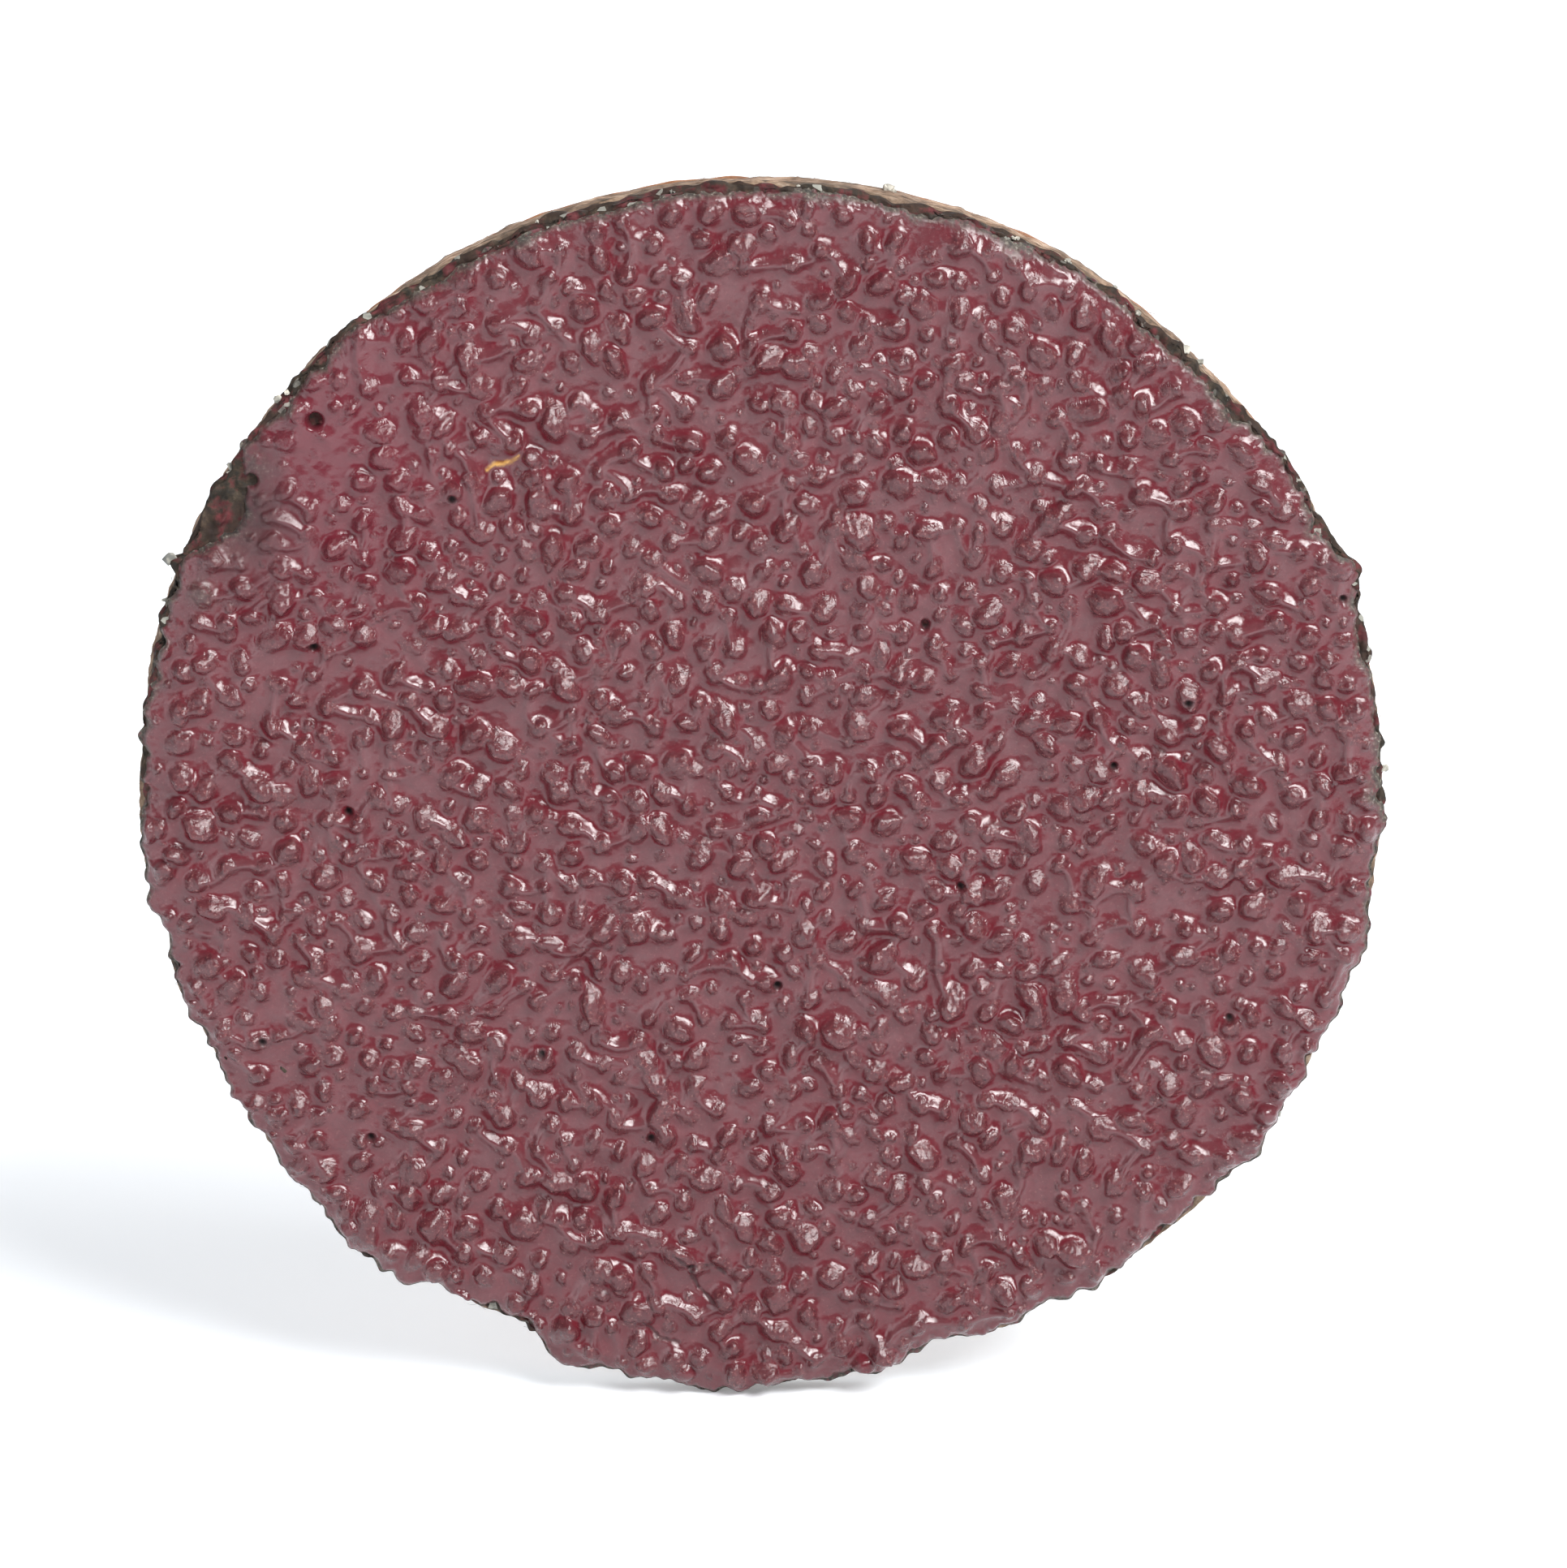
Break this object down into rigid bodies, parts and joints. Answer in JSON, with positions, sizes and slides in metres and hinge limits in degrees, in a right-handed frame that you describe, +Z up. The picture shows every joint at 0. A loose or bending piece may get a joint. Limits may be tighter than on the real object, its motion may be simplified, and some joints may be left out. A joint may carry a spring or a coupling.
{
  "type": "quick-change abrasive disc",
  "caption": "Small closed-face coarse abrasive disc on fibre with a bonded threaded quick-change stud, for wood and metal stock removal.",
  "frame": {"origin": "on the spin axis, in the plane of the stud flange's rear seat", "axes": "+Y along the spin axis from the abrasive face to the stud tip, +Z up in the disc's plane, +X to the right seen from the abrasive face"},
  "size_m": [0.0512, 0.0104, 0.0512],
  "materials": {
    "quick_change_stud": "moulded off-white nylon, satin",
    "stud_bond_adhesive": "cured amber adhesive, glossy bead",
    "back_size_film": "thin resin film over brown fibre, satin",
    "fibre_rear_ply": "red-brown vulcanised fibre, matt",
    "fibre_core_ply": "red-brown vulcanised fibre, matt",
    "fibre_front_ply": "red-brown vulcanised fibre, matt",
    "make_coat": "dark grey phenolic resin, semi-gloss where it is bare",
    "coarse_grain": "coarse mineral grain under a resin film",
    "fine_grain": "smaller mineral grain under a resin film",
    "size_coat": "glossy maroon resin",
    "edge_crumbs": "pale mineral chips, matt"
  },
  "bodies": {
    "root": {"quick_change_stud": "quick_change_stud", "stud_bond_adhesive": "stud_bond_adhesive", "back_size_film": "back_size_film", "fibre_rear_ply": "fibre_rear_ply", "fibre_core_ply": "fibre_core_ply", "fibre_front_ply": "fibre_front_ply", "make_coat": "make_coat", "coarse_grain": "coarse_grain", "fine_grain": "fine_grain", "size_coat": "size_coat", "edge_crumbs": "edge_crumbs"}
  },
  "joints": []
}
